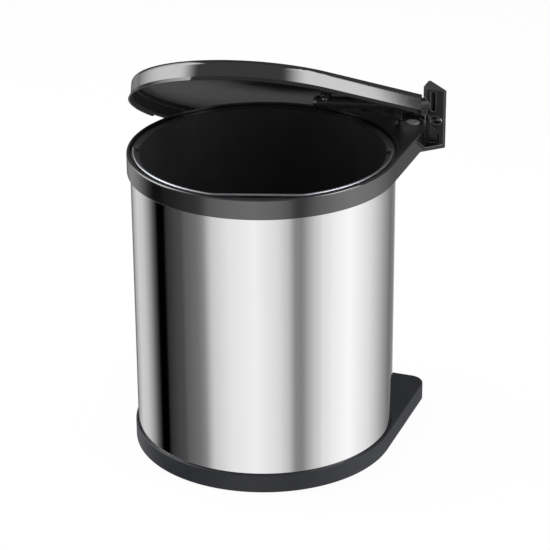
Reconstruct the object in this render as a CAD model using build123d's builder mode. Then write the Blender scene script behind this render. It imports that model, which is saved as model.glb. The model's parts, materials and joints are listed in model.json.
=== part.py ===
# A swing-out bin for the inside of a kitchen cupboard, hung on the cupboard's side wall.
# A steel drum with a black top frame swings about a pin on a small wall bracket. The lid
# stays with the bracket: it rolls about its own centre line as the drum swings out from under it.
# The origin is on the wall face of the bracket, level with the top of the frame. +X goes into the
# wall, +Z is up, and the drum stands towards -X. All sizes are in millimetres.
import os
from math import acos, cos, radians, sin, sqrt

from build123d import *

os.makedirs("parts", exist_ok=True)

# Where the pieces turn
pivot_to_wall = 28.5  # swing pin to the wall
pin_out = 31.7  # swing pin to the outside of the top frame
open_angle = 32.7  # swing from shut to the open pose, and the lid's roll with it
shaft_height = 18.0  # lid shaft above the top of the frame

# Clearances
slip_gap = 0.3  # pieces that are pushed together
run_gap = 0.05  # a shaft in its bush, all round
seat_gap = 0.02  # a pressed pin in its hole, all round

# Drum
shell_r = 130.0
shell_t = 0.8
drum_h = 310.4  # top of the frame to the underside of the base

# Top frame
frame_h = 20.0
frame_wall = 3.0
arm_tip_r = 16.6
plate_t = 2.6
edge_round = 1.5
seat_depth = 5.6  # bucket's seat below the top
seat_t = 2.4
seat_w = 3.1  # bucket's seat inside the collar
collar_t = 2.4
rib_t = 2.4
rib_rise = 3.0
rib_turn = 30.0
curb_h = 6.4  # low rim along the corner's far edge
curb_t = 2.5
curb_l = 1.5  # past the pin, towards the drum
curb_start = -2.0  # from the arm's centre line
curb_round = 0.6

# Base
base_lip = 2.5  # base beyond the shell
base_tip_r = 16.0
base_h = 19.5
base_floor_t = 3.0
base_wall = 3.0
shell_sink = 12.0  # depth of the shell's edge in the base

# Screws that hold the shell, driven from inside
shell_screw_count = 6
shell_screw_r = 1.5
shell_screw_head_r = 3.2
shell_screw_head_t = 1.6
frame_screw_rise = 5.5  # above the underside of the frame
base_screw_depth = 6.0  # below the top of the base
screw_bite = 1.6  # how far a shell screw goes into the outer wall

# Bucket and bail
bucket_wall = 2.0
bucket_floor_t = 2.5
bucket_gap = 0.4  # bucket to its seat
bucket_taper = 11.0  # narrower at the floor than at the mouth
bucket_clear = 4.5  # under the bucket, to the base
flange_t = 3.0
bail_out = 5.0  # bail outside the mouth
bail_wire_r = 1.5
bail_turn = 243.0  # middle of the grip, as seen from above
grip_half_turn = 19.5
grip_bend_r = 24.0
end_bend_r = 2.0
ear_w = 11.0
ear_t = 2.6
ear_rise = 1.1  # ear above the wire
ear_round = 1.6

# Swing pin
pin_r = 4.0
pin_head_r = 7.0
pin_head_t = 2.0
bush_wall = 1.2
bush_l = 5.5
bush_flange_r = 6.0
bush_flange_t = 1.0
washer_t = 1.0
washer_r = 8.0
hub_wall = 4.0
cap_well_r = 6.3
cap_well_depth = 8.0
cap_r = 6.9
cap_t = 0.9
cap_spigot_l = 2.0
cap_round = 0.5
keeper_r = 5.9
keeper_t = 1.0
keeper_screw_r = 2.0
keeper_screw_l = 10.0
keeper_head_r = 3.8
keeper_head_t = 2.4

# Wall bracket
bracket_top = 34.8
bracket_back_w = 34.0
bracket_depth = 14.5
bracket_front_w = 8.6
wing_edge = 2.5
tongue_t = 4.0
tongue_r = 16.0
tip_gap = 1.0  # arm tip to the bracket
pocket_rib = 5.5  # depth of the rib behind the pocket
pocket_deep = 5.0
pocket_front_drop = 34.2  # pocket's roof below the top, at the front
pocket_back_drop = 45.5
tall_slot_y = 8.5
tall_slot_w = 4.0
tall_slot_l = 21.0
tall_slot_drop = 12.7
wide_slot_y = 10.9
wide_slot_w = 9.2
wide_slot_h = 8.0
wide_slot_drop = 32.1
nose_r = 6.2
nose_web_start = 8.0  # web under the nose, from the pin

# Lid shaft
shaft_r = 4.0
shaft_l = 100.0
shaft_tail = 3.0
lock_pin_r = 1.25
clip_r = 6.5
clip_t = 1.0
clip_groove_depth = 0.6
clip_from_end = 2.0

# Lid
lid_back = 4.0  # middle of the lid's round part, from the drum's axis towards the pin
lid_inset = 7.2  # lid's rim inside the top frame's edge
lid_tip_r = 15.7
lid_flare = 2.0
lid_flare_h = 4.0
lid_wall = 1.8
lid_h = 21.0
shaft_over_rim = 10.5
lid_top_round = 5.0
roof_t = 2.2
dome_margin = 17.5  # lid's rim to the dome
dome_rise = 8.0
ledge_w = 3.0
ledge_h = 4.5
lid_end = 9.0  # lid's square end, past the pin
notch_back = 2.0  # the corner's opening for the bracket's nose, behind the pin
notch_near = 5.0
corner_back = 20.0  # far corner trimmed back, clear of the frame's corner
corner_far = 9.0
far_cut = 36.0  # far skirt trimmed back from the pin
far_cut_y = 6.0
far_cut_top = 4.0  # height of the trim above the shaft
relief_y = 55.0  # far rim cut short, to pass over the frame's edge
relief_h = 1.8

# Lid sleeve and lift fork
sleeve_r = 6.0
sleeve_start = 7.5
sleeve_bush_wall = 1.0
sleeve_bush_l = 10.0
sleeve_flange_t = 1.0
sleeve_end_gap = 0.4
foot_near = 28.0
foot_from_end = 12.5  # far foot from the shaft's end
foot_l = 10.0
foot_t = 2.5
foot_drop = 3.0  # underside of the lid's bosses above the shaft
boss_y = 11.0
boss_r = 4.0
boss_sink = 1.2
lid_screw_r = 1.5
lid_screw_l = 6.0
lid_screw_head_r = 2.9
lid_screw_head_t = 2.0
stud_reach = 14.4
stud_ball_r = 2.5
stud_ball_h = 6.0
stud_neck_r = 1.5
stud_shank_l = 8.0
stud_boss_r = 4.0
stud_boss_l = 10.0
fork_near_gap = 1.1
fork_far_gap = 2.0
fork_tine = 2.6
fork_start = 10.6
fork_l = 7.0
fork_reach = 14.5
fork_roof = 8.5  # top of the fork's slot below the shaft
gusset_l = 30.0
gusset_t = 3.0

# Worked out from the values above
pivot_x = -pivot_to_wall
frame_inner_r = shell_r + slip_gap
frame_r = frame_inner_r + frame_wall
swing_arm = frame_r + pin_out
drum_x = pivot_x - swing_arm
base_r = shell_r + base_lip
channel_r = shell_r - shell_t - slip_gap
collar_r = channel_r - collar_t
seat_r = collar_r - seat_w
mouth_r = seat_r - bucket_gap - bucket_wall
bucket_floor_r = mouth_r - bucket_taper
bail_r = mouth_r + bail_out
shell_top = -seat_depth - seat_t - slip_gap
base_top = base_h - drum_h
base_floor_top = base_floor_t - drum_h
bush_r = pin_r + run_gap + bush_wall
hub_r = cap_well_r + hub_wall
tongue_top = -frame_h - bush_flange_t - washer_t
bracket_bottom = tongue_top - tongue_t
bracket_h = bracket_top - bracket_bottom
pin_top = bush_flange_t - cap_well_depth + run_gap
flange_top = flange_t - seat_depth
wire_z = flange_top + slip_gap + bail_wire_r
lid_reach = swing_arm - lid_back
lid_rim_r = frame_r - lid_inset
dome_r = lid_rim_r - dome_margin
rim_z = -shaft_over_rim
flare_top_z = rim_z + lid_flare_h
lid_top_z = rim_z + lid_h
roof_z = lid_top_z - roof_t
skirt_r = lid_rim_r - lid_flare
skirt_tip_r = lid_tip_r - lid_flare
sleeve_bush_r = shaft_r + run_gap + sleeve_bush_wall
foot_far = shaft_l - foot_from_end
sleeve_end = shaft_l - clip_from_end - clip_t - sleeve_end_gap - sleeve_flange_t
shaft_azimuth = radians(180 - open_angle)
shaft_dir = (cos(shaft_azimuth), sin(shaft_azimuth), 0)
lid_x = (-shaft_dir[0], -shaft_dir[1], 0)
lid_roll = radians(open_angle)
lid_normal = (shaft_dir[1] * sin(lid_roll), -shaft_dir[0] * sin(lid_roll), cos(lid_roll))
lid_side = Plane((0, 0, 0), x_dir=lid_x, z_dir=lid_normal).y_dir


def pivot_plane(z):
    """A level plane with its origin on the swing pin."""
    return Plane((pivot_x, 0, z))


def drum_plane(z):
    """A level plane with its origin on the drum's axis."""
    return Plane((drum_x, 0, z))


def radial_plane(turn, radius, z):
    """A plane that faces straight out from the drum's axis."""
    out = (cos(radians(turn)), sin(radians(turn)), 0)
    return Plane((drum_x + radius * out[0], radius * out[1], z), x_dir=(0, 0, 1), z_dir=out)


def lid_plane(z):
    """A plane parallel to the lid's rim, with its origin over the pin and z above the shaft."""
    start = Vector(pivot_x, 0, shaft_height) + Vector(*lid_normal) * z
    return Plane(start, x_dir=lid_x, z_dir=lid_normal)


def shaft_plane(along):
    """A plane square to the lid shaft, at a distance from the pin; its x runs to the far side."""
    start = Vector(pivot_x, 0, shaft_height) + Vector(*shaft_dir) * along
    return Plane(start, x_dir=lid_side, z_dir=shaft_dir)


def pin_axis_disc(radius, low, high, hole_r=0.0):
    """A disc or ring on the swing pin's axis, added to the open part."""
    with BuildSketch(pivot_plane(low)) as disc:
        Circle(radius)
        if hole_r:
            Circle(hole_r, mode=Mode.SUBTRACT)
    extrude(disc.sketch, amount=high - low)


def teardrop(body_r, tip_r, reach, mode=Mode.ADD):
    """A round body and a small round tip on the origin, joined by straight sides."""
    lean = acos((body_r - tip_r) / reach)
    body_x, body_y = body_r * cos(lean) - reach, body_r * sin(lean)
    tip_x, tip_y = tip_r * cos(lean), tip_r * sin(lean)
    with BuildLine() as outline:
        ThreePointArc((body_x, body_y), (-reach - body_r, 0), (body_x, -body_y))
        Line((body_x, -body_y), (tip_x, -tip_y))
        ThreePointArc((tip_x, -tip_y), (tip_r, 0), (tip_x, tip_y))
        Line((tip_x, tip_y), (body_x, body_y))
    make_face(outline.edges(), mode=mode)


def arc_about(middle, start, end):
    """An arc about a middle, the short way from start to end."""
    radius = Vector(*start) - Vector(*middle)
    half_way = (radius + Vector(*end) - Vector(*middle)).normalized() * radius.length
    ThreePointArc(start, (middle[0] + half_way.X, middle[1] + half_way.Y), end)


def keep(piece, name):
    """Name a finished piece and write it."""
    piece.part.label = name
    export_step(piece.part, f"parts/{name}.step")


shell_screw_turns = [360 / shell_screw_count * (i + 0.5) for i in range(shell_screw_count)]
frame_screw_z = frame_screw_rise - frame_h
base_screw_z = base_top - base_screw_depth
head_seat_r = sqrt(collar_r**2 - shell_screw_head_r**2)  # a flat head inside a round collar


def cut_shell_screw_holes(z, start_r, end_r):
    """Holes for the shell screws, cut from the open part."""
    for turn in shell_screw_turns:
        with BuildSketch(radial_plane(turn, start_r, z)) as hole:
            Circle(shell_screw_r + seat_gap)
        extrude(hole.sketch, amount=end_r - start_r, mode=Mode.SUBTRACT)


# Top frame: a moulded ring with a corner that reaches over the swing pin. Its channel takes the
# shell's top edge, its inner seat carries the bucket, and a low curb follows the corner's far edge.
with BuildPart() as top_frame:
    with BuildSketch(pivot_plane(0)):
        teardrop(frame_r, arm_tip_r, swing_arm)
    extrude(amount=-frame_h)
    fillet(top_frame.faces().sort_by(Axis.Z)[-1].edges(), edge_round)
    with BuildSketch(pivot_plane(-plate_t)):
        teardrop(frame_inner_r, arm_tip_r - frame_wall, swing_arm)
    extrude(amount=plate_t - frame_h, mode=Mode.SUBTRACT)
    with BuildSketch(drum_plane(0)):
        Circle(frame_inner_r)
    extrude(amount=-plate_t, mode=Mode.SUBTRACT)
    with BuildSketch(drum_plane(-plate_t)):
        Circle(frame_r)
        Circle(frame_inner_r, mode=Mode.SUBTRACT)
    extrude(amount=plate_t - frame_h)
    with BuildSketch(drum_plane(-seat_depth)):
        Circle(frame_inner_r)
        Circle(seat_r, mode=Mode.SUBTRACT)
    extrude(amount=-seat_t)
    with BuildSketch(drum_plane(-seat_depth - seat_t)):
        Circle(channel_r)
        Circle(collar_r, mode=Mode.SUBTRACT)
    extrude(amount=seat_depth + seat_t - frame_h)
    with BuildSketch(pivot_plane(0)):
        Circle(hub_r)
    extrude(amount=-frame_h)
    with BuildSketch(pivot_plane(-plate_t)):
        with Locations((-stud_reach, 0)):
            Circle(stud_boss_r)
    extrude(amount=plate_t - stud_boss_l)
    for turn in (-rib_turn, 0, rib_turn):
        middle_r = frame_r - frame_wall / 2
        rib_l = swing_arm * cos(radians(turn)) - sqrt(middle_r**2 - (swing_arm * sin(radians(turn)))**2)
        with BuildSketch(pivot_plane(-plate_t).rotated((0, 0, turn))):
            Rectangle(rib_l, rib_t, align=(Align.MAX, Align.CENTER))
        extrude(amount=plate_t + rib_rise - frame_h)
    with BuildSketch(pivot_plane(0)):
        Circle(bush_r)
        with Locations((-stud_reach, 0)):
            Circle(stud_neck_r + seat_gap)
    extrude(amount=-stud_shank_l, mode=Mode.SUBTRACT)
    with BuildSketch(pivot_plane(0)):
        Circle(bush_r)
    extrude(amount=-frame_h, mode=Mode.SUBTRACT)
    with BuildSketch(pivot_plane(0)):
        Circle(cap_well_r)
    extrude(amount=-cap_well_depth, mode=Mode.SUBTRACT)
    cut_shell_screw_holes(frame_screw_z, head_seat_r, frame_inner_r + screw_bite)
    with BuildSketch(pivot_plane(0)):
        teardrop(frame_r - edge_round, arm_tip_r - edge_round, swing_arm)
        curb_inset = edge_round + curb_t
        teardrop(frame_r - curb_inset, arm_tip_r - curb_inset, swing_arm, mode=Mode.SUBTRACT)
        with Locations((-curb_l, curb_start)):
            Rectangle(swing_arm, swing_arm, align=(Align.MIN, Align.MIN), mode=Mode.INTERSECT)
    extrude(amount=curb_h)
    fillet(top_frame.faces().sort_by(Axis.Z)[-1].edges(), curb_round)
keep(top_frame, "top_frame")

# Steel shell: rolled sheet, held in the channels of the frame and the base.
shell_bottom = base_top - shell_sink
with BuildPart() as steel_shell:
    with BuildSketch(drum_plane(shell_bottom)):
        Circle(shell_r)
        Circle(shell_r - shell_t, mode=Mode.SUBTRACT)
    extrude(amount=shell_top - shell_bottom)
    cut_shell_screw_holes(frame_screw_z, collar_r, frame_r)
    cut_shell_screw_holes(base_screw_z, collar_r, frame_r)
keep(steel_shell, "steel_shell")

# Base: a moulded tray with the same corner as the frame, hollow under the corner.
with BuildPart() as base:
    with BuildSketch(pivot_plane(-drum_h)):
        teardrop(base_r, base_tip_r, swing_arm)
    extrude(amount=base_h)
    fillet(base.faces().sort_by(Axis.Z)[-1].edges(), edge_round)
    fillet(base.faces().sort_by(Axis.Z)[0].edges(), edge_round)
    with BuildSketch(drum_plane(base_floor_top)):
        Circle(collar_r)
    extrude(amount=base_h - base_floor_t, mode=Mode.SUBTRACT)
    with BuildSketch(drum_plane(shell_bottom)):
        Circle(frame_inner_r)
        Circle(channel_r, mode=Mode.SUBTRACT)
    extrude(amount=shell_sink, mode=Mode.SUBTRACT)
    with BuildSketch(pivot_plane(-drum_h)):
        teardrop(base_r - base_wall, base_tip_r - base_wall, swing_arm)
        with Locations((-swing_arm, 0)):
            Circle(base_r + base_wall, mode=Mode.SUBTRACT)
    extrude(amount=base_h - base_floor_t, mode=Mode.SUBTRACT)
    cut_shell_screw_holes(base_screw_z, head_seat_r, frame_inner_r + screw_bite)
keep(base, "base")


# Shell screws: pan-head screws from the inside, through the shell and into the outer wall.
def make_shell_screws(z):
    with BuildPart() as screws:
        for turn in shell_screw_turns:
            with BuildSketch(radial_plane(turn, head_seat_r, z)):
                Circle(shell_screw_r)
            extrude(amount=frame_inner_r + screw_bite - head_seat_r)
            with BuildSketch(radial_plane(turn, head_seat_r - shell_screw_head_t, z)):
                Circle(shell_screw_head_r)
            extrude(amount=shell_screw_head_t)
    return screws


keep(make_shell_screws(frame_screw_z), "frame_screws")
keep(make_shell_screws(base_screw_z), "base_screws")

# Inner bucket: a tapered black pail that hangs in the frame by its flange. Two ears on the
# flange hold the bail.
bucket_bottom = base_floor_top + bucket_clear
flange_r = frame_inner_r - slip_gap
ear_top = wire_z + bail_wire_r + ear_rise
with BuildPart() as inner_bucket:
    with BuildSketch(Plane((drum_x, 0, 0), x_dir=(1, 0, 0), z_dir=(0, -1, 0))):
        with BuildLine():
            Polyline(
                (0, bucket_bottom),
                (bucket_floor_r, bucket_bottom),
                (mouth_r + bucket_wall, -seat_depth),
                (flange_r, -seat_depth),
                (flange_r, flange_top),
                (mouth_r, flange_top),
                (bucket_floor_r - bucket_wall, bucket_bottom + bucket_floor_t),
                (0, bucket_bottom + bucket_floor_t),
                close=True,
            )
        make_face()
    revolve(axis=Axis((drum_x, 0, 0), (0, 0, 1)))
    fillet(inner_bucket.edges().filter_by(GeomType.CIRCLE).group_by(Axis.Z)[-1], flange_t / 3)
    for turn in (bail_turn - 90, bail_turn + 90):
        with BuildSketch(radial_plane(turn, mouth_r, (flange_top - flange_t / 2 + ear_top) / 2)):
            RectangleRounded(ear_top - flange_top + flange_t / 2, ear_w, ear_round)
        extrude(amount=ear_t)
        with BuildSketch(radial_plane(turn, mouth_r - bucket_wall, wire_z)):
            Circle(bail_wire_r + run_gap)
        extrude(amount=bail_r - mouth_r, mode=Mode.SUBTRACT)
keep(inner_bucket, "inner_bucket")

# Bail: one bent wire. It lies on the flange, with a straight grip and its two ends in the ears.
bail_plane = Plane((drum_x, 0, wire_z)).rotated((0, 0, bail_turn))
grip_x = bail_r * cos(radians(grip_half_turn))
bend_x = grip_x - grip_bend_r
bend_y = sqrt((bail_r - grip_bend_r)**2 - bend_x**2)
bend_out = bail_r / (bail_r - grip_bend_r)
end_y = sqrt((bail_r - end_bend_r)**2 - end_bend_r**2)
end_out = bail_r / (bail_r - end_bend_r)
bail_end = mouth_r + slip_gap
with BuildPart() as bail:
    with BuildLine(bail_plane) as bail_path:
        Line((0, bail_end), (0, end_y))
        arc_about((end_bend_r, end_y), (0, end_y), (end_bend_r * end_out, end_y * end_out))
        arc_about((0, 0), (end_bend_r * end_out, end_y * end_out), (bend_x * bend_out, bend_y * bend_out))
        arc_about((bend_x, bend_y), (bend_x * bend_out, bend_y * bend_out), (grip_x, bend_y))
        Line((grip_x, bend_y), (grip_x, -bend_y))
        arc_about((bend_x, -bend_y), (grip_x, -bend_y), (bend_x * bend_out, -bend_y * bend_out))
        arc_about((0, 0), (bend_x * bend_out, -bend_y * bend_out), (end_bend_r * end_out, -end_y * end_out))
        arc_about((end_bend_r, -end_y), (end_bend_r * end_out, -end_y * end_out), (0, -end_y))
        Line((0, -end_y), (0, -bail_end))
    with BuildSketch(Plane(bail_path.line @ 0, z_dir=bail_path.line % 0)):
        Circle(bail_wire_r)
    sweep(path=bail_path.line)
keep(bail, "bail")

# Pivot bushes: two flanged plastic bushes in the frame's hub.
with BuildPart() as pivot_bushes:
    pin_axis_disc(bush_r, -frame_h, bush_l - frame_h, pin_r + run_gap)
    pin_axis_disc(washer_r, -frame_h - bush_flange_t, -frame_h, pin_r + run_gap)
    pin_axis_disc(bush_r, -cap_well_depth - bush_l, -cap_well_depth, pin_r + run_gap)
    pin_axis_disc(bush_flange_r, -cap_well_depth, bush_flange_t - cap_well_depth, pin_r + run_gap)
keep(pivot_bushes, "pivot_bushes")

# Pivot cap: a plain round cap that closes the well over the pin.
with BuildPart() as pivot_cap:
    pin_axis_disc(cap_r, 0, cap_t)
    fillet(pivot_cap.faces().sort_by(Axis.Z)[-1].edges(), cap_round)
    pin_axis_disc(cap_well_r - seat_gap, -cap_spigot_l, 0)
keep(pivot_cap, "pivot_cap")

# Lift stud: a ball stud on the frame's corner that works the lid.
with BuildPart() as lift_stud:
    with BuildSketch(pivot_plane(-stud_shank_l)):
        with Locations((-stud_reach, 0)):
            Circle(stud_neck_r)
    extrude(amount=stud_shank_l + stud_ball_h)
    with Locations((pivot_x - stud_reach, 0, stud_ball_h)):
        Sphere(stud_ball_r)
keep(lift_stud, "lift_stud")

# Wall bracket: a die-cast block with slanted wings for the wall screws, a tongue under the
# frame's corner for the swing pin, and a round nose over it for the lid shaft.
with BuildPart() as wall_bracket:
    front_half, back_half = bracket_front_w / 2, bracket_back_w / 2
    with BuildSketch(Plane.XY.offset(bracket_bottom)):
        with BuildLine():
            Polyline(
                (0, -back_half),
                (0, back_half),
                (-wing_edge, back_half),
                (-bracket_depth, front_half),
                (-bracket_depth, -front_half),
                (-wing_edge, -back_half),
                close=True,
            )
        make_face()
    extrude(amount=bracket_h)
    fillet(wall_bracket.edges().filter_by(Axis.Z).group_by(Axis.X)[0], edge_round)
    fillet(wall_bracket.faces().sort_by(Axis.Z)[-1].edges().group_by(Axis.X)[0:-1], edge_round / 2)
    # pocket in each wing under a slanted roof
    with BuildSketch(Plane.XZ.offset(-back_half)):
        with BuildLine():
            Polyline(
                (-pocket_rib, tongue_top),
                (-pocket_rib, bracket_top - pocket_back_drop),
                (-bracket_depth, bracket_top - pocket_front_drop),
                (-bracket_depth, tongue_top),
                close=True,
            )
        make_face()
    extrude(amount=bracket_back_w, mode=Mode.SUBTRACT)
    core_half = back_half - pocket_deep
    with BuildSketch(Plane.XY.offset(tongue_top)):
        with BuildLine():
            Polyline(
                (-wing_edge, -core_half),
                (-wing_edge, core_half),
                (-bracket_depth, front_half),
                (-bracket_depth, -front_half),
                close=True,
            )
        make_face()
    extrude(amount=bracket_top - pocket_front_drop - tongue_top)
    # tongue
    with BuildSketch(Plane.XY.offset(bracket_bottom)):
        with Locations((pivot_x, 0)):
            Circle(tongue_r)
            Rectangle(pivot_to_wall, bracket_back_w, align=(Align.MIN, Align.CENTER))
    extrude(amount=tongue_t)
    # nose
    with BuildSketch(Plane((pivot_x, 0, shaft_height), x_dir=(0, 1, 0), z_dir=(1, 0, 0))):
        Circle(nose_r)
    extrude(amount=pivot_to_wall - wing_edge)
    with Locations((pivot_x, 0, shaft_height)):
        Sphere(nose_r)
    with BuildSketch(pivot_plane(curb_h + tip_gap)):
        with Locations((nose_web_start, 0)):
            Rectangle(pivot_to_wall - wing_edge - nose_web_start, bracket_front_w,
                      align=(Align.MIN, Align.CENTER))
    extrude(amount=shaft_height - curb_h - tip_gap)
    # room for the frame's corner
    with BuildSketch(pivot_plane(tongue_top)):
        Circle(arm_tip_r + tip_gap)
    extrude(amount=curb_h + tip_gap - tongue_top, mode=Mode.SUBTRACT)
    # screw slots
    for side in (-1, 1):
        with BuildSketch(Plane((0, side * tall_slot_y, bracket_top - tall_slot_drop), x_dir=(0, 0, 1),
                               z_dir=(-1, 0, 0))):
            SlotOverall(tall_slot_l, tall_slot_w)
        extrude(amount=bracket_depth, mode=Mode.SUBTRACT)
        with BuildSketch(Plane((0, side * wide_slot_y, bracket_top - wide_slot_drop), x_dir=(0, 1, 0),
                               z_dir=(-1, 0, 0))):
            SlotOverall(wide_slot_w, wide_slot_h)
        extrude(amount=bracket_depth, mode=Mode.SUBTRACT)
    # bores for the pin, the shaft and its lock pin
    with BuildSketch(pivot_plane(bracket_bottom)):
        Circle(pin_r + seat_gap)
    extrude(amount=tongue_t, mode=Mode.SUBTRACT)
    with BuildSketch(shaft_plane(-shaft_tail)):
        Circle(shaft_r + seat_gap)
    extrude(amount=shaft_tail + 2 * nose_r, mode=Mode.SUBTRACT)
    with BuildSketch(pivot_plane(shaft_height - nose_r)):
        Circle(lock_pin_r + seat_gap)
    extrude(amount=2 * nose_r, mode=Mode.SUBTRACT)
keep(wall_bracket, "wall_bracket")

# Swing pin: a headed steel pin pressed up through the tongue, with a tapped end.
with BuildPart() as swing_pin:
    pin_axis_disc(pin_head_r, bracket_bottom - pin_head_t, bracket_bottom)
    pin_axis_disc(pin_r, bracket_bottom, pin_top)
    with BuildSketch(pivot_plane(pin_top)):
        Circle(keeper_screw_r + seat_gap)
    extrude(amount=-keeper_screw_l, mode=Mode.SUBTRACT)
keep(swing_pin, "swing_pin")

# Thrust washer: the steel washer that the frame's hub turns on.
with BuildPart() as thrust_washer:
    pin_axis_disc(washer_r, tongue_top, tongue_top + washer_t, pin_r + seat_gap)
keep(thrust_washer, "thrust_washer")

# Keeper washer and screw: they stop the frame from lifting off the pin.
keeper_top = pin_top + keeper_t
with BuildPart() as keeper_washer:
    pin_axis_disc(keeper_r, pin_top, keeper_top, keeper_screw_r + seat_gap)
keep(keeper_washer, "keeper_washer")

with BuildPart() as keeper_screw:
    pin_axis_disc(keeper_screw_r, keeper_top - keeper_screw_l, keeper_top)
    pin_axis_disc(keeper_head_r, keeper_top, keeper_top + keeper_head_t)
    fillet(keeper_screw.faces().sort_by(Axis.Z)[-1].edges(), keeper_head_t / 3)
keep(keeper_screw, "keeper_screw")

# Lid shaft: a fixed steel shaft from the bracket's nose to under the middle of the lid.
clip_start = shaft_l - clip_from_end - clip_t
with BuildPart() as lid_shaft:
    with BuildSketch(shaft_plane(-shaft_tail)):
        Circle(shaft_r)
    extrude(amount=shaft_tail + shaft_l)
    with BuildSketch(shaft_plane(clip_start)):
        Circle(shaft_r)
        Circle(shaft_r - clip_groove_depth, mode=Mode.SUBTRACT)
    extrude(amount=clip_t, mode=Mode.SUBTRACT)
    with BuildSketch(pivot_plane(shaft_height - nose_r)):
        Circle(lock_pin_r + seat_gap)
    extrude(amount=2 * nose_r, mode=Mode.SUBTRACT)
keep(lid_shaft, "lid_shaft")

# Lock pin: it goes through the nose and the shaft, so the shaft can't turn.
with BuildPart() as lock_pin:
    pin_axis_disc(lock_pin_r, shaft_height - nose_r + slip_gap, shaft_height + nose_r - slip_gap)
keep(lock_pin, "lock_pin")

# Shaft clip: a spring clip in the shaft's groove that keeps the sleeve on.
with BuildPart() as shaft_clip:
    with BuildSketch(shaft_plane(clip_start)):
        Circle(clip_r)
        Circle(shaft_r - clip_groove_depth + seat_gap, mode=Mode.SUBTRACT)
        with Locations((0, -clip_r)):
            Rectangle(shaft_r, clip_r, mode=Mode.SUBTRACT)
    extrude(amount=clip_t)
keep(shaft_clip, "shaft_clip")

# Lid: a shallow moulded shell with a flared rim, a low dome, and a corner that reaches the pin.
# The corner is cut away on the far side, where the bracket's nose and the frame's corner pass.
foot_places = [(-along, side * boss_y) for along in (foot_near, foot_far) for side in (-1, 1)]
dome_sphere_r = (dome_r**2 + dome_rise**2) / (2 * dome_rise)


lid_middle = Vector(pivot_x, 0, shaft_height) - Vector(*lid_x) * lid_reach
lid_axis = Axis(lid_middle, lid_normal)


def lid_dome(base_z):
    """Half the section of a low dome over the round part of the lid."""
    start = lid_middle + Vector(*lid_normal) * base_z
    with BuildSketch(Plane(start, x_dir=lid_x, z_dir=-lid_side)) as half:
        with BuildLine() as outline:
            Line((0, 0), (dome_r, 0))
            RadiusArc((dome_r, 0), (0, dome_rise), -dome_sphere_r)
            Line((0, dome_rise), (0, 0))
        make_face(outline.edges())
    return half.sketch


def roof_height(x, y):
    """Underside of the roof above the shaft, at a place in the lid's plane."""
    from_middle = (x + lid_reach)**2 + y**2
    if from_middle > dome_r**2:
        return roof_z
    return roof_z + dome_rise - dome_sphere_r + sqrt(dome_sphere_r**2 - from_middle)


with BuildPart() as lid_shell:
    with BuildSketch(lid_plane(flare_top_z)):
        teardrop(skirt_r, skirt_tip_r, lid_reach)
    extrude(amount=lid_top_z - flare_top_z)
    fillet(lid_shell.faces().sort_by(Axis((0, 0, 0), lid_normal))[-1].edges(), lid_top_round)
    with BuildSketch(lid_plane(rim_z)):
        teardrop(lid_rim_r, lid_tip_r, lid_reach)
    with BuildSketch(lid_plane(flare_top_z)):
        teardrop(skirt_r, skirt_tip_r, lid_reach)
    loft(ruled=True)
    revolve(lid_dome(lid_top_z), axis=lid_axis)
    with BuildSketch(lid_plane(flare_top_z)):
        teardrop(skirt_r - lid_wall, skirt_tip_r - lid_wall, lid_reach)
    extrude(amount=roof_z - flare_top_z, mode=Mode.SUBTRACT)
    with BuildSketch(lid_plane(rim_z)):
        teardrop(lid_rim_r - lid_wall, lid_tip_r - lid_wall, lid_reach)
    with BuildSketch(lid_plane(flare_top_z)):
        teardrop(skirt_r - lid_wall, skirt_tip_r - lid_wall, lid_reach)
    loft(ruled=True, mode=Mode.SUBTRACT)
    revolve(lid_dome(roof_z), axis=lid_axis, mode=Mode.SUBTRACT)
    with BuildSketch(lid_plane(roof_z - ledge_h)):
        teardrop(skirt_r - lid_wall, skirt_tip_r - lid_wall, lid_reach)
        ledge_inset = lid_wall + ledge_w
        teardrop(skirt_r - ledge_inset, skirt_tip_r - ledge_inset, lid_reach, mode=Mode.SUBTRACT)
    extrude(amount=ledge_h)
    for x, y in foot_places:
        with BuildSketch(lid_plane(foot_drop)):
            with Locations((x, y)):
                Circle(boss_r)
        extrude(amount=roof_height(x, y) + boss_sink - foot_drop)
        with BuildSketch(lid_plane(foot_drop)):
            with Locations((x, y)):
                Circle(lid_screw_r + seat_gap)
        extrude(amount=lid_screw_l - foot_t, mode=Mode.SUBTRACT)
    with BuildSketch(lid_plane(rim_z)):
        with Locations((-notch_back, -notch_near), (-corner_back, corner_far)):
            Rectangle(lid_reach, lid_reach, align=(Align.MIN, Align.MIN))
        with Locations((lid_end, 0)):
            Rectangle(lid_reach, lid_reach, align=(Align.MIN, Align.CENTER))
    extrude(amount=lid_h + dome_rise, mode=Mode.SUBTRACT)
    with BuildSketch(lid_plane(rim_z)):
        with Locations((-far_cut, far_cut_y)):
            Rectangle(lid_reach, lid_reach, align=(Align.MIN, Align.MIN))
    extrude(amount=far_cut_top - rim_z, mode=Mode.SUBTRACT)
    with BuildSketch(lid_plane(rim_z)):
        with Locations((0, relief_y)):
            Rectangle(lid_reach + lid_rim_r, lid_rim_r, align=(Align.MAX, Align.MIN))
    extrude(amount=relief_h, mode=Mode.SUBTRACT)
keep(lid_shell, "lid_shell")

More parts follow.
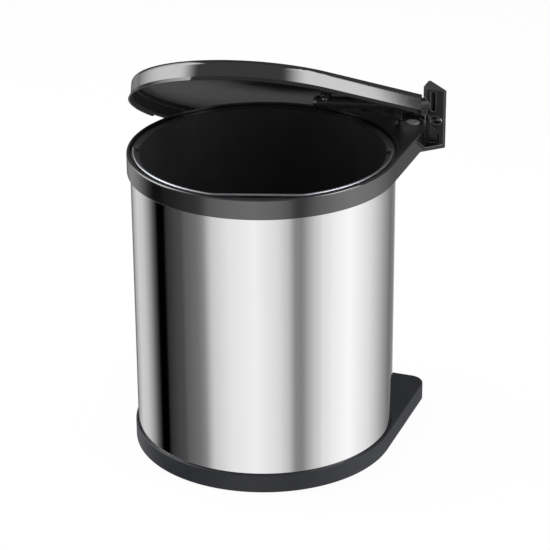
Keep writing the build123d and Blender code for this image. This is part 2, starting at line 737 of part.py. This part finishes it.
# Lid sleeve: it turns on the shaft and is screwed to four bosses under the lid. The fork at its
# end straddles the lift stud, and a gusset backs the fork.
with BuildPart() as lid_sleeve:
    with BuildSketch(shaft_plane(sleeve_start)):
        Circle(sleeve_r)
    extrude(amount=sleeve_end - sleeve_start)
    with BuildSketch(lid_plane(foot_drop - foot_t)):
        for along in (foot_near, foot_far):
            with Locations((-along, 0)):
                RectangleRounded(foot_l, 2 * (boss_y + boss_r), boss_r)
    extrude(amount=foot_t)
    fork_near = stud_ball_r + fork_near_gap
    fork_far = stud_ball_r + fork_far_gap
    with BuildSketch(lid_plane(0)):
        with Locations((-fork_start, -fork_near - fork_tine)):
            Rectangle(fork_l, fork_near + fork_far + 2 * fork_tine, align=(Align.MAX, Align.MIN))
    extrude(amount=-fork_reach)
    with BuildSketch(lid_plane(-fork_roof)):
        with Locations((-fork_start, -fork_near)):
            Rectangle(fork_l, fork_near + fork_far, align=(Align.MAX, Align.MIN))
    extrude(amount=fork_roof - fork_reach, mode=Mode.SUBTRACT)
    with BuildSketch(Plane(lid_plane(0).origin, x_dir=lid_x, z_dir=-lid_side)):
        with BuildLine():
            Polyline(
                (-fork_start - fork_l, 0),
                (-fork_start - fork_l, -fork_reach),
                (-fork_start - fork_l - gusset_t, -fork_reach),
                (-fork_start - fork_l - gusset_l, -sleeve_r),
                (-fork_start - fork_l - gusset_l, 0),
                close=True,
            )
        make_face()
    extrude(amount=gusset_t / 2, both=True)
    with BuildSketch(shaft_plane(sleeve_start)):
        Circle(sleeve_bush_r + seat_gap)
    extrude(amount=sleeve_end - sleeve_start, mode=Mode.SUBTRACT)
    with BuildSketch(lid_plane(foot_drop - foot_t)):
        with Locations(*foot_places):
            Circle(lid_screw_r + seat_gap)
    extrude(amount=foot_t, mode=Mode.SUBTRACT)
keep(lid_sleeve, "lid_sleeve")

# Sleeve bushes: flanged plastic bushes in the two ends of the sleeve.
with BuildPart() as sleeve_bushes:
    for mouth, inward in ((sleeve_start, 1), (sleeve_end, -1)):
        with BuildSketch(shaft_plane(mouth)):
            Circle(sleeve_bush_r)
            Circle(shaft_r + run_gap, mode=Mode.SUBTRACT)
        extrude(amount=inward * sleeve_bush_l)
        with BuildSketch(shaft_plane(mouth)):
            Circle(sleeve_r)
            Circle(shaft_r + run_gap, mode=Mode.SUBTRACT)
        extrude(amount=-inward * sleeve_flange_t)
keep(sleeve_bushes, "sleeve_bushes")

# Sleeve screws: four pan-head screws from below, through the feet into the lid's bosses.
with BuildPart() as sleeve_screws:
    for x, y in foot_places:
        with BuildSketch(lid_plane(foot_drop - foot_t)):
            with Locations((x, y)):
                Circle(lid_screw_r)
        extrude(amount=lid_screw_l - slip_gap)
        with BuildSketch(lid_plane(foot_drop - foot_t)):
            with Locations((x, y)):
                Circle(lid_screw_head_r)
        extrude(amount=-lid_screw_head_t)
keep(sleeve_screws, "sleeve_screws")
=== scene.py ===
import json
from math import cos, pi, radians, sin

import bmesh
import bpy
from mathutils import Matrix, Vector


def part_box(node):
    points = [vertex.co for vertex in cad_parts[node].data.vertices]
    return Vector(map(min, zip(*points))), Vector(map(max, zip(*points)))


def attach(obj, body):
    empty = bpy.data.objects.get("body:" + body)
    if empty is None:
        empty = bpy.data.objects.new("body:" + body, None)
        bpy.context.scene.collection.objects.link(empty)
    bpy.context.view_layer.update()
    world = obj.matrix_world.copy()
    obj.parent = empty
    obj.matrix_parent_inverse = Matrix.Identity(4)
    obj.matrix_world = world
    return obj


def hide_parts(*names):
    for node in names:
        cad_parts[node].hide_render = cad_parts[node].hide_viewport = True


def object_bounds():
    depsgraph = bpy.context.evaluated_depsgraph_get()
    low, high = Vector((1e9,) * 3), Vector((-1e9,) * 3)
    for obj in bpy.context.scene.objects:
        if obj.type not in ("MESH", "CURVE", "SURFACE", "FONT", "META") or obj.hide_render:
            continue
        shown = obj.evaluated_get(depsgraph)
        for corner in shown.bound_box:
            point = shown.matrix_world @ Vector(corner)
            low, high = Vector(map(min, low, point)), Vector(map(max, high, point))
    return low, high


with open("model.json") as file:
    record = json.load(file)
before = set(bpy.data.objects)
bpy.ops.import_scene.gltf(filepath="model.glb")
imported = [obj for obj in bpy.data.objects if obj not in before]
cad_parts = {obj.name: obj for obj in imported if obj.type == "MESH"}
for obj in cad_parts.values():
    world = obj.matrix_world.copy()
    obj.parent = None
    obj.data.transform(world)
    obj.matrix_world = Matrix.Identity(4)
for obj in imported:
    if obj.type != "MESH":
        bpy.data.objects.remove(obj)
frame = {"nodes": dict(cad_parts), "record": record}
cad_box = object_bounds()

nodes = frame["nodes"]

# Wall bracket: a small die-casting with a satin black powder coat. Its colour holds painted shade,
# near black in its slots and hollows, and a painted highlight, light grey along its edges. It is
# screwed flat to the cupboard's side wall through four slots, and carries the swing pin and the lid
# shaft.
# Painted shade in the hollows and a painted highlight along the edges, both in the coat's colour:
painted_shade_reach = 0.030
painted_shade_black = (0.003, 0.003, 0.003)
open_black = (0.031, 0.031, 0.032)
painted_edge_highlight_grey = (0.20, 0.20, 0.205)
painted_edge_highlight_starts, painted_edge_highlight_full = 0.995, 0.90
bracket_edge_r = 0.0011


class Wire:
    """A socket of a node tree. Arithmetic on wires adds the Math nodes that work it out."""

    def __init__(self, tree, socket=None):
        self.tree = tree
        self.socket = socket

    def node(self, kind, settings=None, sockets=None, out=0):
        """Adds a node: settings first, then the values or links of its sockets."""
        made = self.tree.nodes.new(kind)
        for name, value in (settings or {}).items():
            if name == "stops":
                self.set_stops(made.color_ramp, value)
            else:
                setattr(made, name, value)
        for name, value in (sockets or {}).items():
            if isinstance(value, Wire):
                self.tree.links.new(value.socket, made.inputs[name])
            else:
                made.inputs[name].default_value = value
        return Wire(self.tree, made.outputs[out])

    def set_stops(self, ramp, stops):
        """Gives a colour ramp its stops: (place, grey level)."""
        while len(ramp.elements) < len(stops):
            ramp.elements.new(1.0)
        for element, (place, level) in zip(ramp.elements, stops):
            element.position = place
            element.color = (level, level, level, 1)

    def math(self, operation, first, second):
        """A Math node on two values or wires."""
        return self.node("ShaderNodeMath", {"operation": operation}, {0: first, 1: second})

    def dot(self, other):
        """The dot product of two directions, or of a place and a direction."""
        product = {"operation": "DOT_PRODUCT"}
        return self.node("ShaderNodeVectorMath", product, {0: self, 1: other}, out="Value")

    def rise(self, start, end, low=0.0, high=1.0):
        """From low to high while this value goes from start to end, and level outside."""
        reach = {"Value": self, "From Min": start, "From Max": end, "To Min": low, "To Max": high}
        return self.node("ShaderNodeMapRange", {}, reach)

    def __add__(self, other):
        return self.math("ADD", self, other)

    __radd__ = __add__

    def __sub__(self, other):
        return self.math("SUBTRACT", self, other)

    def __rsub__(self, other):
        return self.math("SUBTRACT", other, self)

    def __mul__(self, other):
        return self.math("MULTIPLY", self, other)

    __rmul__ = __mul__

    def __truediv__(self, other):
        return self.math("DIVIDE", self, other)

    def __rtruediv__(self, other):
        return self.math("DIVIDE", other, self)


def finish_named(name, metallic=0.0, index=1.5):
    """A new material, its shader, and the place on the surface in metres."""
    material = bpy.data.materials.new(name)
    material.use_nodes = True
    shader = material.node_tree.nodes["Principled BSDF"]
    shader.inputs["Metallic"].default_value = metallic
    shader.inputs["IOR"].default_value = index
    place = Wire(material.node_tree).node("ShaderNodeTexCoord", out="Object")
    return material, shader, place


def feed(shader, name, wire):
    """Links a worked-out value to a socket of the shader."""
    wire.tree.links.new(wire.socket, shader.inputs[name])


def mottle(place, size, low=0.0, high=1.0, stretch=(1, 1, 1)):
    """Soft patches of about a given size in metres, from a low to a high value."""
    scaled = place.node("ShaderNodeMapping", {}, {"Vector": place, "Scale": stretch})
    noise = place.node("ShaderNodeTexNoise", {}, {"Vector": scaled, "Scale": 1 / size, "Detail": 3.0})
    noise_low, noise_high = 0.3, 0.7
    return noise.rise(noise_low, noise_high, low, high)


def tint(amount, dark, light):
    """A colour between two colours or wires, by an amount from 0 to 1."""
    first, second = [end if isinstance(end, Wire) else (*end, 1) for end in (dark, light)]
    return amount.node("ShaderNodeMix", {"data_type": "RGBA"}, {0: amount, 6: first, 7: second}, out=2)


def sheen(shader, place, size, smooth, rough, stretch=(1, 1, 1)):
    """Roughness in soft patches of a given size in metres."""
    feed(shader, "Roughness", mottle(place, size, smooth, rough, stretch))


def broken_edge(place, radius, samples):
    """The surface's direction, with its edges broken to a radius in metres."""
    return place.node("ShaderNodeBevel", {"samples": samples}, {"Radius": radius})


def grain(shader, place, size, depth, surface=None):
    """A moulded or sprayed grain, its size and full depth in metres, on a given surface direction."""
    sockets = {"Height": mottle(place, size), "Distance": depth}
    if surface is not None:
        sockets["Normal"] = surface
    feed(shader, "Normal", place.node("ShaderNodeBump", {}, sockets))


def dress(node, material):
    """Gives a CAD node its finish."""
    nodes[node].data.materials.clear()
    nodes[node].data.materials.append(material)


bracket_coat, bracket_shader, place = finish_named("bracket_coat", index=1.36)
# Painted shade: ambient occlusion darkens the coat's colour to near black in slots, pocket and hollows.
painted_shade_openness = place.node("ShaderNodeAmbientOcclusion", {"samples": 8}, {"Distance": painted_shade_reach}, out="AO")
painted_shade_and_tone = painted_shade_openness * painted_shade_openness * mottle(place, size=0.02, low=0.8, high=1.0)
coat_black_with_painted_shade = tint(painted_shade_and_tone, painted_shade_black, open_black)
flat_face = place.node("ShaderNodeNewGeometry", out="True Normal")
# Painted highlight: the coat's colour turns light grey along every broken edge, standing for edge
# highlights.
painted_edge_highlight = flat_face.dot(broken_edge(place, bracket_edge_r, samples=8)).rise(painted_edge_highlight_starts, painted_edge_highlight_full)
feed(bracket_shader, "Base Color", tint(painted_edge_highlight, coat_black_with_painted_shade, painted_edge_highlight_grey))
sheen(bracket_shader, place, size=0.006, smooth=0.26, rough=0.38)
bracket_edge = broken_edge(place, bracket_edge_r, samples=6)
grain(bracket_shader, place, size=0.0006, depth=0.00003, surface=bracket_edge)
dress("wall_bracket", bracket_coat)

# Swing pin, washers and keeper screw: turned steel with a bright zinc coat. The pin is pressed into
# the bracket's tongue, and the screw with its washer keeps the frame from lifting off.
zinc, zinc_shader, place = finish_named("zinc_steel", metallic=1.0)


def patches(shader, place, size, dark, light, stretch=(1, 1, 1)):
    """Colour in soft patches of a given size in metres, between a dark and a light tone."""
    feed(shader, "Base Color", tint(mottle(place, size, stretch=stretch), dark, light))


patches(zinc_shader, place, size=0.004, dark=(0.50, 0.51, 0.53), light=(0.66, 0.67, 0.68))
sheen(zinc_shader, place, size=0.0015, smooth=0.22, rough=0.38)
for name in ("swing_pin", "thrust_washer", "keeper_washer", "keeper_screw"):
    dress(name, zinc)

# Pivot bushes: two flanged bushes in off-white acetal, which run on the pin. They are moulded, and
# pushed into the two ends of the hub in the frame's corner.
acetal, acetal_shader, place = finish_named("off_white_acetal")
patches(acetal_shader, place, size=0.003, dark=(0.66, 0.64, 0.58), light=(0.76, 0.74, 0.69))
sheen(acetal_shader, place, size=0.001, smooth=0.38, rough=0.52)
dress("pivot_bushes", acetal)

# Top frame: one moulding in high-gloss black, a ring with a corner that reaches over the pin. Its upper
# faces are less glossy. The steel shell is held in a channel under it, and the bucket rests on its
# inner seat.
gloss_index = 2.15
gloss_wave = 0.012
gloss_wave_depth = 0.000002
upper_satin = 0.22
frame_edge_r = 0.0009


def facing(place, way, least):
    """1 where the moulded face looks the given way, 0 where it turns off it, soft between."""
    soft = 0.2
    return place.node("ShaderNodeTexCoord", out="Normal").dot(way).rise(least, least + soft)


frame_black, frame_shader, place = finish_named("gloss_black_frame", index=gloss_index)
patches(frame_shader, place, size=0.05, dark=(0.0055, 0.0055, 0.0058), light=(0.0080, 0.0080, 0.0084))
gloss_patches = mottle(place, size=0.03, low=0.070, high=0.095)
feed(frame_shader, "Roughness", gloss_patches + upper_satin * facing(place, way=(0, 0, 1), least=0.75))
frame_edge = broken_edge(place, frame_edge_r, samples=6)
grain(frame_shader, place, gloss_wave, gloss_wave_depth, surface=frame_edge)
dress("top_frame", frame_black)

# Pivot cap: a plain round cap in mid-grey plastic, moulded with a fine grain. It is pressed into the
# well over the pin and closes it.
cap_grey, cap_shader, place = finish_named("cap_grey")
patches(cap_shader, place, size=0.003, dark=(0.19, 0.19, 0.20), light=(0.23, 0.23, 0.24))
sheen(cap_shader, place, size=0.001, smooth=0.32, rough=0.46)
grain(cap_shader, place, size=0.0004, depth=0.00002)
dress("pivot_cap", cap_grey)

# Lift stud: a turned ball stud in blackened steel, pressed into the frame's corner. Its ball stands in
# the sleeve's fork and works the lid.
black_steel, black_steel_shader, place = finish_named("blackened_steel", metallic=1.0)
patches(black_steel_shader, place, size=0.003, dark=(0.035, 0.035, 0.037), light=(0.060, 0.060, 0.062))
sheen(black_steel_shader, place, size=0.001, smooth=0.30, rough=0.44)
dress("lift_stud", black_steel)

# Steel shell: bright stainless sheet with a fine upright grain, rolled to a drum and closed by a
# lapped, spot-welded seam on the side under the arm.
steel, steel_shader, place = finish_named("polished_stainless", metallic=1.0)
upright = (60, 60, 1)
steel_dark = (0.852, 0.852, 0.852)
steel_light = (0.866, 0.866, 0.866)
patches(steel_shader, place, size=0.03, dark=steel_dark, light=steel_light, stretch=upright)
sheen(steel_shader, place, size=0.02, smooth=0.060, rough=0.078, stretch=upright)
dress("steel_shell", steel)

shell_low, shell_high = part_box("steel_shell")
shell_r = (shell_high[0] - shell_low[0]) / 2
drum_x = (shell_low[0] + shell_high[0]) / 2
sheet_t = 0.0008
seam_gap = 0.001
seam_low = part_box("base")[1][2] + seam_gap
seam_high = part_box("top_frame")[0][2] - seam_gap
seam_start, seam_top, seam_end = -5.0, -1.5, 3.0
weld_pitch = 0.022
weld_r = 0.0025
weld_depth = 0.00025


def seam_rise(turn, z):
    """How far the lap stands out of the drum, in metres, with a spot weld's dimple at every pitch."""
    climb = min(max((turn - seam_start) / (seam_top - seam_start), 0.0), 1.0)
    along = (z - seam_low) % weld_pitch - weld_pitch / 2
    across = shell_r * radians(turn)
    dimple = max(0.0, 1 - (along**2 + across**2) / weld_r**2)
    return sheet_t * climb**2 * (3 - 2 * climb) - weld_depth * dimple


def closed_strip(name, loops):
    """A closed mesh through like loops of points, one after the other, with its corners kept sharp."""
    count = len(loops[0])
    faces = [tuple(range(count))[::-1], tuple(range((len(loops) - 1) * count, len(loops) * count))]
    for row in range(len(loops) - 1):
        for i in range(count):
            j = (i + 1) % count
            low = row * count
            faces.append((low + i, low + j, low + count + j, low + count + i))
    mesh = bpy.data.meshes.new(name)
    mesh.from_pydata([point for loop in loops for point in loop], [], faces)
    work = bmesh.new()
    work.from_mesh(mesh)
    bmesh.ops.recalc_face_normals(work, faces=work.faces)
    work.to_mesh(mesh)
    work.free()
    mesh.shade_smooth()
    sharp_corner = radians(35)
    mesh.set_sharp_from_angle(angle=sharp_corner)
    made = bpy.data.objects.new(name, mesh)
    bpy.context.scene.collection.objects.link(made)
    return made


def drum_point(radius, turn, z):
    """A point by its radius from the drum's axis and its turn from the swing pin, in degrees."""
    return (drum_x + radius * cos(radians(turn)), radius * sin(radians(turn)), z)


seam_cols = 33
seam_rows = 420
inside_step = 8
turns = [seam_start + (seam_end - seam_start) * col / (seam_cols - 1) for col in range(seam_cols)]
seam_loops = []
for row in range(seam_rows):
    z = seam_low + (seam_high - seam_low) * row / (seam_rows - 1)
    outside = [drum_point(shell_r + seam_rise(turn, z), turn, z) for turn in turns]
    inside = [drum_point(shell_r - sheet_t / 2, turn, z) for turn in reversed(turns[::inside_step])]
    seam_loops.append(outside + inside)
drum_seam = closed_strip("drum_seam", seam_loops)
drum_seam.data.materials.append(steel)
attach(drum_seam, "bin")

# Shell screws: zinc-plated pan-head screws, six at the top and six at the foot. They are driven from
# inside, through the shell's two edges into the walls of the frame and the base.
dress("frame_screws", zinc)
dress("base_screws", zinc)

# Base: a moulded tray in dark blue-grey plastic with a satin face. It has the same corner as the
# top frame, and the shell stands in a groove in it.
base_grey, base_shader, place = finish_named("blue_grey_base", index=1.42)
patches(base_shader, place, size=0.04, dark=(0.0160, 0.0172, 0.0220), light=(0.0205, 0.0218, 0.0272))
sheen(base_shader, place, size=0.01, smooth=0.42, rough=0.52)
grain(base_shader, place, size=0.0012, depth=0.00001)
dress("base", base_grey)

# Inner bucket: a deep black pail, moulded in one piece with a satin face. It hangs in the frame by
# its flange and lifts out.
bucket_black, bucket_shader, place = finish_named("satin_black_bucket")
patches(bucket_shader, place, size=0.06, dark=(0.027, 0.027, 0.0275), light=(0.036, 0.036, 0.0365))
sheen(bucket_shader, place, size=0.015, smooth=0.30, rough=0.42)
grain(bucket_shader, place, size=0.0009, depth=0.00002)
dress("inner_bucket", bucket_black)

# Bail: one bent steel wire, bright plated, that lies on the bucket's flange. Its two ends turn in the
# bucket's ears.
wire_steel, wire_shader, place = finish_named("bright_wire", metallic=1.0)
patches(wire_shader, place, size=0.01, dark=(0.42, 0.435, 0.47), light=(0.50, 0.515, 0.55))
sheen(wire_shader, place, size=0.004, smooth=0.34, rough=0.44)
dress("bail", wire_steel)

# Lid shaft, lock pin and clip: a turned, zinc-plated steel shaft, pinned in the bracket's nose, with
# a spring clip at its end that keeps the sleeve on.
for name in ("lid_shaft", "lock_pin", "shaft_clip"):
    dress(name, zinc)

# Lid: a shallow moulding in the same high-gloss black as the frame, with a finely grained top and
# inner wall and a satin underside whose lighter grey is painted light. It is screwed to the sleeve
# below it, and lies level only at one end of its roll.
joints = {joint["name"]: joint for joint in frame["record"]["behaviour"]["joints"]}
lid_joint = joints["lid_roll"]
lid_pin = Vector(lid_joint["pos_m"])
lid_shaft_way = Vector(lid_joint["axis"])
lid_roll = radians(lid_joint["range_deg"][1])
lid_up = Vector((0, 0, 1)) * cos(lid_roll) + lid_shaft_way.cross(Vector((0, 0, 1))) * sin(lid_roll)
lid_far = lid_shaft_way.cross(lid_up)
lid_black, lid_shader, place = finish_named("gloss_black_lid", index=gloss_index)
patches(lid_shader, place, size=0.05, dark=(0.0035, 0.0035, 0.0038), light=(0.0060, 0.0060, 0.0064))
sheen(lid_shader, place, size=0.03, smooth=0.060, rough=0.080)

# The lid's upper corner is rounded. Its flare below is left as it is moulded.
lid_heights = [(vertex.co - lid_pin).dot(lid_up) for vertex in nodes["lid_shell"].data.vertices]
lid_half = (min(lid_heights) + max(lid_heights)) / 2
half_blend = 0.002
lid_edge_r = 0.0025
climb = place.dot(lid_up) - lid_pin.dot(lid_up)
upper_half = climb.rise(lid_half - half_blend, lid_half + half_blend)
moulded = place.node("ShaderNodeNewGeometry", out="Normal")
rounded = broken_edge(place, lid_edge_r, samples=8)
edge_choice = {0: upper_half, 4: moulded, 5: rounded}
lid_edge = place.node("ShaderNodeMix", {"data_type": "VECTOR"}, edge_choice, out=1)
grain(lid_shader, place, gloss_wave, gloss_wave_depth, surface=lid_edge)

# Faces that look down are satin and painted a lighter grey as painted light, those that look up or
# inward are grained, and the rest is gloss.
top_grain = {
    "Base Color": tint(mottle(place, size=0.05), (0.011, 0.011, 0.0115), (0.014, 0.014, 0.0145)),
    "Roughness": mottle(place, size=0.01, low=0.48, high=0.56),
    "IOR": 1.3,
}
lid_top = place.node("ShaderNodeBsdfPrincipled", {}, top_grain)
# Painted light: the down-facing faces get a lighter grey than the rest of the same black moulding.
under_satin_painted_light = {
    "Base Color": tint(mottle(place, size=0.05), (0.044, 0.044, 0.0445), (0.052, 0.052, 0.0525)),
    "Roughness": mottle(place, size=0.02, low=0.30, high=0.36),
    "IOR": 1.6,
}
lid_under_painted_light = place.node("ShaderNodeBsdfPrincipled", {}, under_satin_painted_light)
lid_tree = lid_black.node_tree
lid_gloss = Wire(lid_tree, lid_shader.outputs["BSDF"])
painted_light_underside = facing(place, way=-lid_up, least=0.6)
lid_body = place.node("ShaderNodeMixShader", {}, {0: painted_light_underside, 1: lid_gloss, 2: lid_under_painted_light})
lid_middle = lid_pin + lid_shaft_way * (lid_pin.x - drum_x)
from_middle = place.node("ShaderNodeVectorMath", {"operation": "SUBTRACT"}, {0: place, 1: lid_middle})
outward = from_middle.dot(place.node("ShaderNodeTexCoord", out="Normal"))
inward_starts, inward_full = -0.06, -0.10
inner_wall = outward.rise(inward_starts, inward_full)
grained = facing(place, way=lid_up, least=0.8) + inner_wall
lid_faces = place.node("ShaderNodeMixShader", {}, {0: grained, 1: lid_body, 2: lid_top})
lid_tree.links.new(lid_faces.socket, lid_tree.nodes["Material Output"].inputs["Surface"])
dress("lid_shell", lid_black)

# Lid sleeve: a black moulding that turns on the shaft, with a fork that straddles the lift stud. The
# lid is screwed to its four feet.
sleeve_black, sleeve_shader, place = finish_named("satin_black_sleeve")
patches(sleeve_shader, place, size=0.01, dark=(0.032, 0.032, 0.032), light=(0.044, 0.044, 0.044))
sheen(sleeve_shader, place, size=0.004, smooth=0.22, rough=0.34)
grain(sleeve_shader, place, size=0.0009, depth=0.000004)
dress("lid_sleeve", sleeve_black)

# Sleeve bushes: flanged bushes in dark grey acetal, which run on the shaft. They are pushed into the
# sleeve's two ends.
dark_acetal, dark_acetal_shader, place = finish_named("dark_acetal")
patches(dark_acetal_shader, place, size=0.003, dark=(0.050, 0.050, 0.052), light=(0.075, 0.075, 0.078))
sheen(dark_acetal_shader, place, size=0.001, smooth=0.36, rough=0.50)
dress("sleeve_bushes", dark_acetal)

# Sleeve screws: four zinc-plated pan-head screws with a cross recess, driven from below through the
# sleeve's feet into the lid's bosses.
feet_along = (0.028, 0.0875)
feet_across = (-0.011, 0.011)
foot_under = 0.0005
screw_head_r = 0.0029
screw_head_t = 0.002
head_rim_share = 0.55
screw_shank_r = 0.0015
screw_l = 0.0057
screw_point_l = 0.00114
screw_tip_r = 0.0002
cross_arm = 0.0017
cross_half = 0.00038
cross_depth = 0.0011


def screw_face(x, y):
    """Height of the pan head over its seat, less the cross recess."""
    crown = max(0.0, 1 - (x**2 + y**2) / screw_head_r**2)
    height = screw_head_t * (head_rim_share + (1 - head_rim_share) * crown**0.5)
    arm = min(max(abs(x), abs(y)) / cross_arm, 1.0)
    inside = min(abs(x), abs(y)) < cross_half and arm < 1.0
    return height - cross_depth * (1 - arm**2) if inside else height


# A ring of the screw without a height of its own follows the face of the head.
ring_points = 64
head_rings = 26
first_ring = 0.1
head_profile = [(ring + first_ring) / (head_rings - 1 + first_ring) for ring in range(head_rings)]
screw_profile = [(screw_head_r * share, None) for share in head_profile]
screw_profile.append((screw_head_r, 0.0))
screw_profile.append((screw_shank_r, 0.0))
screw_profile.append((screw_shank_r, screw_point_l - screw_l))
screw_profile.append((screw_tip_r, -screw_l))
foot_places = [(along, across) for along in feet_along for across in feet_across]
for number, (along, across) in enumerate(foot_places):
    seat = lid_pin + lid_shaft_way * along + lid_far * across + lid_up * foot_under
    rings = []
    for radius, drop in screw_profile:
        ring = []
        for point in range(ring_points):
            x = radius * cos(2 * pi * point / ring_points)
            y = radius * sin(2 * pi * point / ring_points)
            below = screw_face(x, y) if drop is None else drop
            ring.append(seat + lid_shaft_way * x + lid_far * y - lid_up * below)
        rings.append(ring)
    screw = closed_strip(f"sleeve_screw_{number + 1}", rings)
    screw.data.materials.append(zinc)
    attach(screw, "lid")
    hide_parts("sleeve_screws")

# Studio: a white floor under the bin and a white backdrop. Dark and grey cards stripe the steel, a
# soft box stands at each side, higher than the lid, and one hangs overhead.
drum_middle = Vector((drum_x, 0, -0.150))
ahead = Vector((0.4115, 0.9114, 0.0)).normalized()
rightward = Vector((ahead.y, -ahead.x, 0.0))
camera_height = radians(24.608)
camera_roll = radians(-0.5)
camera_distance = 2.3142
frame_side_px = 550.0
camera_focus_px = 2306.65
camera_shift_px = (10.91, 12.90)
look = ahead * cos(camera_height) - Vector((0, 0, sin(camera_height)))
level_look = look.to_track_quat("-Z", "Y")
camera_data = bpy.data.cameras.new("camera")
camera_data.sensor_width = 36.0
camera_data.lens = camera_data.sensor_width * camera_focus_px / frame_side_px
camera_data.shift_x = camera_shift_px[0] / frame_side_px
camera_data.shift_y = camera_shift_px[1] / frame_side_px
camera = bpy.data.objects.new("camera", camera_data)
camera.location = drum_middle - look * camera_distance
camera.rotation_mode = "QUATERNION"
camera.rotation_quaternion = level_look @ Matrix.Rotation(camera_roll, 3, "Z").to_quaternion()
bpy.context.scene.collection.objects.link(camera)
bpy.context.scene.camera = camera

boxes_aim = Vector((drum_x, 0, 0.03))


def studio_direction(turn, height):
    """A direction by its turn from the camera, to the right, and its height, in degrees."""
    level = rightward * sin(radians(turn)) - ahead * cos(radians(turn))
    return level * cos(radians(height)) + Vector((0, 0, sin(radians(height))))


def soft_box(name, turn, height, width, tall, brightness, across, distance=1.4):
    """A soft box that faces the lid: its brightness in a mirror, and how that fades over its width."""
    data = bpy.data.lights.new(name, "AREA")
    data.shape = "RECTANGLE"
    data.size = width
    data.size_y = tall
    data.energy = brightness * pi * width * tall
    data.use_nodes = True
    cloth = Wire(data.node_tree).node("ShaderNodeNewGeometry", out="Parametric")
    side = cloth.node("ShaderNodeSeparateXYZ", {}, {0: cloth}, out="X")
    stops = [(x / width + 0.5, level) for x, level in across]
    fade = cloth.node("ShaderNodeValToRGB", {"stops": stops}, {"Fac": side})
    fade.socket.node.color_ramp.interpolation = "EASE"
    data.node_tree.links.new(fade.socket, data.node_tree.nodes["Emission"].inputs["Strength"])
    lamp = bpy.data.objects.new(name, data)
    away = studio_direction(turn, height)
    lamp.location = boxes_aim + away * distance
    lamp.rotation_mode = "QUATERNION"
    lamp.rotation_quaternion = away.to_track_quat("Z", "Y")
    bpy.context.scene.collection.objects.link(lamp)
    return lamp


left_fade = ((-1.5, 0.0), (0.1, 1.0), (0.24, 1.0), (0.68, 0.0))
right_fade = ((-0.75, 0.0), (-0.15, 1.0), (0.316, 1.0), (0.368, 0.0))
top_fade = ((-0.65, 1.0), (0.65, 1.0))
soft_box("left_box", turn=-97, height=21, width=3.0, tall=1.6, brightness=3.6, across=left_fade)
soft_box("right_box", turn=70, height=24, width=1.6, tall=1.2, brightness=4.0, across=right_fade)
top_box = soft_box(
    "top_box", turn=180, height=80, width=1.3, tall=1.3, brightness=2.4, across=top_fade, distance=1.6
)
top_box.visible_glossy = False

floor_mesh = bpy.data.meshes.new("floor")
floor_half = 4.0
floor_drop = 0.0005
floor_z = cad_box[0][2] - floor_drop
corners = [(x * floor_half, y * floor_half, floor_z) for x, y in ((-1, -1), (1, -1), (1, 1), (-1, 1))]
floor_mesh.from_pydata(corners, [], [(0, 1, 2, 3)])
floor = bpy.data.objects.new("floor", floor_mesh)
floor.visible_glossy = False
bpy.context.scene.collection.objects.link(floor)
floor_white = bpy.data.materials.new("floor_white")
floor_white.use_nodes = True
floor_tree = floor_white.node_tree
shadow_share = 0.06
floor_glow = Wire(floor_tree).node("ShaderNodeEmission", {}, {"Color": (1, 1, 1, 1), "Strength": 1.0})
floor_paper = Wire(floor_tree).node("ShaderNodeBsdfDiffuse", {}, {"Color": (0.9, 0.9, 0.9, 1)})
floor_parts = {0: shadow_share, 1: floor_glow, 2: floor_paper}
floor_mix = Wire(floor_tree).node("ShaderNodeMixShader", {}, floor_parts)
floor_tree.links.new(floor_mix.socket, floor_tree.nodes["Material Output"].inputs["Surface"])
floor_mesh.materials.append(floor_white)

world = bpy.data.worlds.new("studio")
bpy.context.scene.world = world
world.use_nodes = True
world.cycles.sampling_method = "NONE"
ray = Wire(world.node_tree).node("ShaderNodeTexCoord", out="Generated")
around = ray.math("ARCTAN2", ray.dot(rightward), ray.dot(-ahead)) / (2 * pi) + 0.5
height = ray.node("ShaderNodeSeparateXYZ", {}, {0: ray}, out="Z")


def cards(*levels):
    """Cards round the object: (turn from the camera in degrees, brightness)."""
    stops = [(turn / 360 + 0.5, level) for turn, level in levels]
    return around.node("ShaderNodeValToRGB", {"stops": stops}, {"Fac": around})


low_cards = cards(
    (-180, 0.42), (-174, 0.20), (-166, 0.14), (-157, 0.42), (-143, 0.68), (-130, 0.62), (-120, 0.36),
    (-112, 0.10), (-106, 0.0), (-96, 0.0), (-94, 0.028), (-80, 0.07), (-60, 0.18), (-54, 0.27),
    (-46, 0.66), (-30, 0.88), (-8, 1.0), (12, 0.80), (21, 0.58), (27, 0.27), (33, 0.24), (46, 0.67),
    (62, 0.96), (80, 1.1), (105, 0.82), (130, 0.38), (146, 0.18), (160, 0.24), (172, 0.60), (180, 0.42),
)
high_cards = cards((-180, 0.14), (-120, 0.14), (-60, 0.26), (60, 0.26), (120, 0.14), (180, 0.14))
high_starts, high_full = -0.17, 0.0
mirrored = tint(height.rise(high_starts, high_full), low_cards, high_cards)
camera_ray = ray.node("ShaderNodeLightPath", out="Is Camera Ray")
glossy_ray = ray.node("ShaderNodeLightPath", out="Is Glossy Ray")
fill_grey = (0.45, 0.45, 0.45)
unseen = tint(glossy_ray, fill_grey, mirrored)
backdrop_white = (1, 1, 1)
seen = tint(camera_ray, unseen, backdrop_white)
world.node_tree.links.new(seen.socket, world.node_tree.nodes["Background"].inputs["Color"])
bpy.context.scene.view_settings.view_transform = "Standard"
